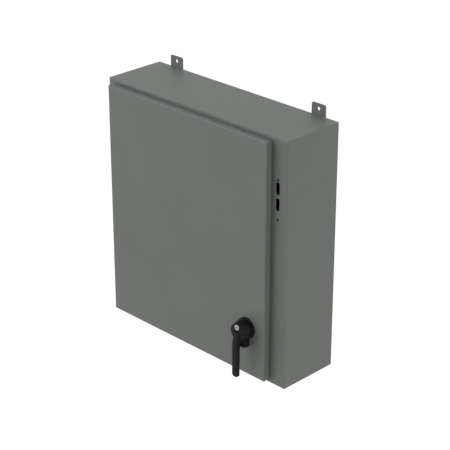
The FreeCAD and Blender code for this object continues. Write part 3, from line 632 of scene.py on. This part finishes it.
@dataclass
class Handle:
    """Padlocking lever handle: base with its lug, hub with the lever arm, and the key lock."""

    finishes: Finishes
    axis: Vector = field(default_factory=lambda: joint_point("handle_turn"))
    lock_axis: Vector = field(default_factory=lambda: joint_point("key_turn"))
    base_rim: float = 5.5 * MM
    rim_round: float = 1.9 * MM
    groove_depth: float = 6.0 * MM
    boss_rise: float = 3.4 * MM
    rear_radius: float = 30.6 * MM
    front_radius: float = 25.8 * MM
    hub_step: float = 2.0 * MM
    hub_round: float = 1.4 * MM
    lock_bore: float = 8.8 * MM
    lock_bore_depth: float = 30.0 * MM
    arm_half: float = 11.7 * MM
    arm_thickness: float = 10.4 * MM
    arm_crown: float = 3.8 * MM
    arm_start: float = 1.0 * MM
    arm_round: float = 1.0 * MM
    arm_weld: float = 0.08 * MM
    # Root of the arm, in millimetres: height above the handle's axis, then how far its front and its rear
    # lie behind the arm's face.
    arm_root: tuple[tuple[float, float, float], ...] = (
        (-2.0, 7.4, 18.6), (-14.0, 4.9, 18.6), (-25.0, 2.3, 17.4), (-33.0, 1.0, 14.0),
        (-42.0, 0.3, 11.6), (-52.4, 0.0, 10.4))
    tip_round: float = 8.6 * MM
    tip_turn: float = 84.0
    tip_steps: int = 6
    tip_starts: float = 0.5 * MM
    tip_leans: float = 1.6 * MM
    lug_half: float = 13.0 * MM
    lug_round: float = 6.5 * MM
    lug_top: float = 24.0 * MM
    shelf_gap: float = 0.4 * MM
    ear_top: float = 22.0 * MM
    ear_drop: float = 52.3 * MM
    ear_gap: float = 0.4 * MM
    ear_thickness: float = 8.4 * MM
    block_round: float = 0.9 * MM
    # The largest round at a block's lower end, as a share of its thickness.
    round_share: float = 0.42
    padlock_radius: float = 4.8 * MM
    padlock_drop: float = 42.0 * MM
    padlock_forward: float = 15.0 * MM
    padlock_length: float = 60.0 * MM
    lock_gap: float = 0.5 * MM
    lock_ring: float = 2.7 * MM
    lock_round: float = 0.4 * MM
    plug_sink: float = 1.2 * MM
    slot_length: float = 9.0 * MM
    slot_width: float = 2.6 * MM
    slot_depth: float = 6.0 * MM
    slot_slant: float = -34.0

    def build(self) -> None:
        """Model the three pieces and dress them."""
        self.build_base()
        self.build_lever()
        self.build_lock()

    def build_base(self) -> None:
        """Base disc with a round rim, a narrow boss that leaves a groove behind the hub, and the lug."""
        low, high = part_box("handle_base")
        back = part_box("handle_gasket")[0].y
        front = back - self.base_rim
        base = new_cylinder("handle_base_casting", (high.x - low.x) / 2,
                            Vector((self.axis.x, back - self.base_rim / 2, self.axis.z)), self.base_rim)
        bevel_edges(base, lambda middle, along: near(middle.y, front), self.rim_round, segments=3)
        pick_faces(base, lambda middle, normal: normal.y < -PARALLEL)
        bpy.ops.mesh.inset(thickness=self.groove_depth)
        bpy.ops.mesh.extrude_region_move(TRANSFORM_OT_translate={"value": (0, -self.boss_rise, 0)})
        object_mode()
        lug = self.rounded_block("lug", low.z, self.axis.z - self.lug_top, front, back)
        shelf_top = self.axis.z - self.rear_radius - self.shelf_gap
        shelf = self.rounded_block("lug_shelf", low.z, shelf_top, low.y, back)
        combine(lug, shelf, Merge.JOIN)
        combine(base, lug, Merge.JOIN)
        combine(base, self.padlock_bore(), Merge.CUT)
        shade(base)
        paint(base, self.finishes.made[Slot.HANDLE])
        register(base, Body.DOOR, "handle_base")

    def rounded_block(self, name: str, bottom: float, top: float, front: float,
                      back: float) -> bpy.types.Object:
        """Block as wide as the lug, with its two lower cross edges rounded and the rest eased.

        Args:
            name: The object's name.
            bottom: Z of its lower end.
            top: Z of its upper end.
            front: Y of its front face.
            back: Y of its back face.

        Returns:
            The block's mesh.
        """
        block = new_box(name, Vector((self.axis.x - self.lug_half, front, bottom)),
                        Vector((self.axis.x + self.lug_half, back, top)))
        width = min(self.lug_round, (back - front) * self.round_share)
        bevel_edges(block, lambda middle, along: near(middle.z, bottom) and abs(along.x) > PARALLEL,
                    width, segments=5)
        round_edges(block, self.block_round)
        return block

    def padlock_bore(self) -> bpy.types.Object:
        """Cylinder where the padlock's shackle goes."""
        centre = self.axis - Vector((0, self.padlock_forward, self.padlock_drop))
        return new_cylinder("padlock_bore", self.padlock_radius, centre, self.padlock_length, sides=40)

    def build_lever(self) -> None:
        """Tapered hub with an eased front edge, the bowed arm, the padlock ear and the lock's bore."""
        low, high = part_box("handle_lever")
        hub_front = self.lock_axis.y
        step_front = high.y - self.hub_step
        hub = new_cylinder("handle_lever_casting", self.rear_radius,
                           Vector((self.axis.x, (step_front + high.y) / 2, self.axis.z)), self.hub_step)
        pick_faces(hub, lambda middle, normal: normal.y < -PARALLEL)
        bpy.ops.mesh.extrude_region_move(TRANSFORM_OT_translate={"value": (0, hub_front - step_front, 0)})
        share = self.front_radius / self.rear_radius
        bpy.ops.transform.resize(value=(share, 1.0, share),
                                 center_override=(self.axis.x, hub_front, self.axis.z))
        object_mode()
        round_edges(hub, self.hub_round, segments=4, angle=25.0)
        combine(hub, self.arm(low), Merge.JOIN)
        ear_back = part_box("handle_base")[0].y - self.ear_gap
        ear = self.rounded_block("ear", self.axis.z - self.ear_drop, self.axis.z - self.ear_top,
                                 ear_back - self.ear_thickness, ear_back)
        combine(hub, ear, Merge.JOIN)
        combine(hub, self.padlock_bore(), Merge.CUT)
        bore = new_cylinder("lock_bore", self.lock_bore, self.lock_axis, self.lock_bore_depth, sides=64)
        combine(hub, bore, Merge.CUT)
        shade(hub, 30.0)
        paint(hub, self.finishes.made[Slot.HANDLE])
        register(hub, Body.HANDLE, "handle_lever")

    def arm_sections(self, low: Vector) -> list[tuple[float, float, float, float]]:
        """Cross-sections of the arm from its root to its tip.

        Args:
            low: Lowest corner of the CAD lever.

        Returns:
            For each section its Z, the Y of its front and of its rear, and its half width.
        """
        sections = [(self.axis.z + height * MM, low.y + front * MM, low.y + rear * MM, self.arm_half)
                    for height, front, rear in self.arm_root]
        whole_turn = math.radians(self.tip_turn)
        for step in range(self.tip_steps + 1):
            share = step / self.tip_steps
            turn = whole_turn * share
            ease = self.tip_starts + self.tip_leans * share ** 2
            sections.append((low.z + self.tip_round * (1 - math.sin(turn) / math.sin(whole_turn)),
                             low.y + ease, low.y + self.arm_thickness - ease / 2,
                             self.arm_half - self.tip_round * (1 - math.cos(turn))))
        return sections

    def arm(self, low: Vector) -> bpy.types.Object:
        """Lever arm: it leaves the hub's face, bows forward and hangs straight to a round tip.

        Args:
            low: Lowest corner of the CAD lever.

        Returns:
            The arm's mesh.
        """
        sections = self.arm_sections(low)
        level, front, rear, half = sections[0]
        arm = new_box("arm", Vector((self.axis.x - half, front, level)),
                      Vector((self.axis.x + half, rear, level + self.arm_start)))
        bevel_edges(arm, lambda middle, along: abs(along.z) > PARALLEL and near(middle.y, front),
                    self.arm_crown, segments=4)
        pick_faces(arm, lambda middle, normal: normal.z < -PARALLEL)
        for next_level, next_front, next_rear, next_half in sections[1:]:
            middle, next_middle = (front + rear) / 2, (next_front + next_rear) / 2
            bpy.ops.mesh.extrude_region_move(
                TRANSFORM_OT_translate={"value": (0, next_middle - middle, next_level - level)})
            bpy.ops.transform.resize(
                value=(next_half / half, (next_rear - next_front) / (rear - front), 1.0),
                center_override=(self.axis.x, next_middle, next_level))
            level, front, rear, half = next_level, next_front, next_rear, next_half
        object_mode()
        round_edges(arm, self.arm_round, angle=50.0)
        weld(arm, self.arm_weld)
        return arm

    def build_lock(self) -> None:
        """Key lock: a rounded bezel, a plug set back inside it, and the slanting key slot."""
        low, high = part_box("lock_cylinder")
        lock = new_cylinder("key_lock", (high.x - low.x) / 2 - self.lock_gap,
                            Vector((self.lock_axis.x, (low.y + high.y) / 2, self.lock_axis.z)),
                            high.y - low.y, sides=64)
        pick_faces(lock, lambda middle, normal: normal.y < -PARALLEL)
        bpy.ops.mesh.inset(thickness=self.lock_ring)
        bpy.ops.mesh.extrude_region_move(TRANSFORM_OT_translate={"value": (0, self.plug_sink, 0)})
        object_mode()
        round_edges(lock, self.lock_round)
        face = Vector((self.lock_axis.x, low.y, self.lock_axis.z))
        half = Vector((self.slot_length / 2, self.slot_depth, self.slot_width / 2))
        slot = new_box("key_slot", face - half, face + half)
        edit_mode(slot, Element.FACE, everything=True)
        bpy.ops.transform.rotate(value=math.radians(self.slot_slant), orient_axis="Y", center_override=face)
        object_mode()
        combine(lock, slot, Merge.CUT)
        shade(lock)
        paint(lock, self.finishes.made[Slot.LOCK])
        register(lock, Body.KEY, "lock_cylinder")


@dataclass
class Seal:
    """Foamed seal of the door: a bead with a round back, poured along the opening's lip."""

    finishes: Finishes
    width: float = 12.6 * MM
    crown: float = 5.0 * MM
    cut_past: float = 5.0 * MM

    def build(self) -> None:
        """Model the bead and dress it."""
        low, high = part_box("door_gasket")
        bead = new_box("door_seal_bead", low, high)
        inset = Vector((self.width, -self.cut_past, self.width))
        combine(bead, new_box("inside", low + inset, high - inset), Merge.CUT)
        bevel_edges(bead, lambda middle, along: near(middle.y, high.y), self.crown, segments=5)
        shade(bead)
        paint(bead, self.finishes.made[Slot.SEAL])
        register(bead, Body.DOOR, "door_gasket")


@dataclass
class Pocket:
    """Moulded pocket for drawings on the door's inside: thin walls, an open top and a thumb notch."""

    finishes: Finishes
    wall: float = 1.8 * MM
    corner: float = 7.0 * MM
    lower_round: float = 4.2 * MM
    floor: float = 14.0 * MM
    notch: float = 42.0 * MM
    notch_sink: float = 12.0 * MM
    # How much longer the notch's cutter is than the pocket is deep, as a share of that depth.
    cut_past: float = 0.2

    def build(self) -> None:
        """Model the pocket from the box of its CAD solid and dress it."""
        low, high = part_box("drawing_pocket")
        half_way = (low.y + high.y) / 2
        pocket = new_box("document_pocket", low, high)
        bevel_edges(pocket, lambda middle, along: abs(along.z) > PARALLEL and middle.y > half_way,
                    self.corner, segments=5)
        bevel_edges(pocket, lambda middle, along: near(middle.z, low.z) and middle.y > low.y + self.wall,
                    self.lower_round, segments=4)
        pick_faces(pocket, lambda middle, normal: normal.z > PARALLEL)
        bpy.ops.mesh.inset(thickness=self.wall)
        bpy.ops.mesh.extrude_region_move(
            TRANSFORM_OT_translate={"value": (0, 0, low.z - high.z + self.floor)})
        object_mode()
        centre = Vector(((low.x + high.x) / 2, high.y, high.z + self.notch - self.notch_sink))
        notch = new_cylinder("notch", self.notch, centre, (high.y - low.y) * (1 + self.cut_past), sides=64)
        combine(pocket, notch, Merge.CUT)
        shade(pocket)
        paint(pocket, self.finishes.made[Slot.POCKET])
        register(pocket, Body.DOOR, "drawing_pocket")


@dataclass(frozen=True)
class Lamp:
    """A very soft lamp: where it stands, in degrees round and above the object, and its strength."""

    name: str
    azimuth: float
    elevation: float
    energy: float


@dataclass
class Studio:
    """Pale floor, soft light from all round, and the camera at the photograph's place and angle."""

    # The floor lies far enough down for the object to be seen from below as well.
    floor_level: float = -2.5
    floor_size: float = 60.0
    floor_colour: str = "C8C8C8"
    # What the camera sees on top of the floor's own light, so that it reads white where nothing shades it.
    floor_lift: float = 0.5
    ambient: float = 0.6
    lamps: tuple[Lamp, ...] = (
        Lamp("right", 74, 20, 1.22), Lamp("front_left", -48, 20, 1.58), Lamp("behind", 175, 6, 0.5))
    lamp_spread: float = 60.0
    # Where the photograph was taken from, worked out from how the body's lines run together in it.
    camera_place: Vector = field(default_factory=lambda: Vector((2.9031, -2.9864, 1.8927)))
    azimuth: float = 45.0
    elevation: float = 25.0
    lens: float = 122.35
    sensor: float = 36.0

    def build(self) -> None:
        """Make the floor, the lights and the camera."""
        self.build_floor()
        self.build_world()
        self.build_lamps()
        self.build_camera()

    def white_rays(self, tree: bpy.types.NodeTree) -> bpy.types.NodeSocket:
        """Find the rays that see the background as white.

        Args:
            tree: The node tree that asks.

        Returns:
            A socket that is 1 for camera, glossy and transmission rays, and 0 for others.
        """
        path = add_node(tree, "ShaderNodeLightPath")
        seen = add_node(tree, "ShaderNodeMath", {"operation": "MAXIMUM"},
                        {0: path.outputs["Is Camera Ray"], 1: path.outputs["Is Glossy Ray"]})
        all_three = add_node(tree, "ShaderNodeMath", {"operation": "MAXIMUM"},
                             {0: seen.outputs[0], 1: path.outputs["Is Transmission Ray"]})
        return all_three.outputs[0]

    def build_floor(self) -> None:
        """Matt pale floor that reads white to the camera where nothing shades it, and keeps the shadow."""
        bpy.ops.object.select_all(action="DESELECT")
        bpy.ops.mesh.primitive_plane_add(size=self.floor_size, location=(0, 0, self.floor_level))
        floor = bpy.context.object
        floor.name = "floor"
        # Matt white paper, which spreads light evenly and has no gloss.
        made = bpy.data.materials.new("white_floor")
        made.use_nodes = True
        tree = made.node_tree
        tree.nodes.clear()
        matt = add_node(tree, "ShaderNodeBsdfDiffuse", {"Color": linear(self.floor_colour)})
        lift = add_node(tree, "ShaderNodeMath", {"operation": "MULTIPLY", 1: self.floor_lift},
                        {0: self.white_rays(tree)})
        glow = add_node(tree, "ShaderNodeEmission", {"Color": WHITE}, {"Strength": lift.outputs[0]})
        both = add_node(tree, "ShaderNodeAddShader", links={0: matt.outputs[0], 1: glow.outputs[0]})
        add_node(tree, "ShaderNodeOutputMaterial", links={"Surface": both.outputs[0]})
        paint(floor, made)

    def build_world(self) -> None:
        """Even light from all round, white to the camera and in reflections."""
        world = bpy.data.worlds.new("studio")
        bpy.context.scene.world = world
        world.use_nodes = True
        tree = world.node_tree
        tree.nodes.clear()
        soft = add_node(tree, "ShaderNodeBackground", {"Color": WHITE, "Strength": self.ambient})
        white = add_node(tree, "ShaderNodeBackground", {"Color": WHITE, "Strength": 1.0})
        mix = add_node(tree, "ShaderNodeMixShader", links={
            0: self.white_rays(tree), 1: soft.outputs[0], 2: white.outputs[0]})
        add_node(tree, "ShaderNodeOutputWorld", links={"Surface": mix.outputs[0]})

    def build_lamps(self) -> None:
        """Three very soft lamps: from the right, from the front left, and from behind."""
        for lamp in self.lamps:
            light = bpy.data.lights.new(lamp.name, "SUN")
            light.energy = lamp.energy
            light.angle = math.radians(self.lamp_spread)
            self.aim(bpy.data.objects.new(lamp.name, light), lamp.azimuth, lamp.elevation)

    def build_camera(self) -> None:
        """Camera at the photograph's place, angle and lens."""
        optics = bpy.data.cameras.new("camera")
        optics.lens = self.lens
        optics.sensor_width = self.sensor
        camera = bpy.data.objects.new("camera", optics)
        camera.location = self.camera_place
        self.aim(camera, self.azimuth, self.elevation)
        bpy.context.scene.camera = camera

    def aim(self, thing: bpy.types.Object, azimuth: float, elevation: float) -> None:
        """Put a lamp or a camera in the scene, looking towards the object.

        Args:
            thing: The lamp or the camera.
            azimuth: Degrees to the right of the door's front, as seen from the object.
            elevation: Degrees above the floor, as seen from the object.
        """
        thing.rotation_mode = "QUATERNION"
        thing.rotation_quaternion = (-from_angles(azimuth, elevation)).to_track_quat("-Z", "Y")
        bpy.context.scene.collection.objects.link(thing)


def main() -> None:
    """Dress the CAD nodes, model the pieces that need a finer shape, and set up the studio."""
    logging.basicConfig(level=logging.INFO, format="%(message)s")
    bpy.context.scene.view_settings.view_transform = "Standard"
    Studio().build()
    finishes = Finishes()
    finishes.build(joint_point("key_turn"))
    finishes.dress_nodes()
    Handle(finishes).build()
    Seal(finishes).build()
    Pocket(finishes).build()


if __name__ == "__main__":
    main()
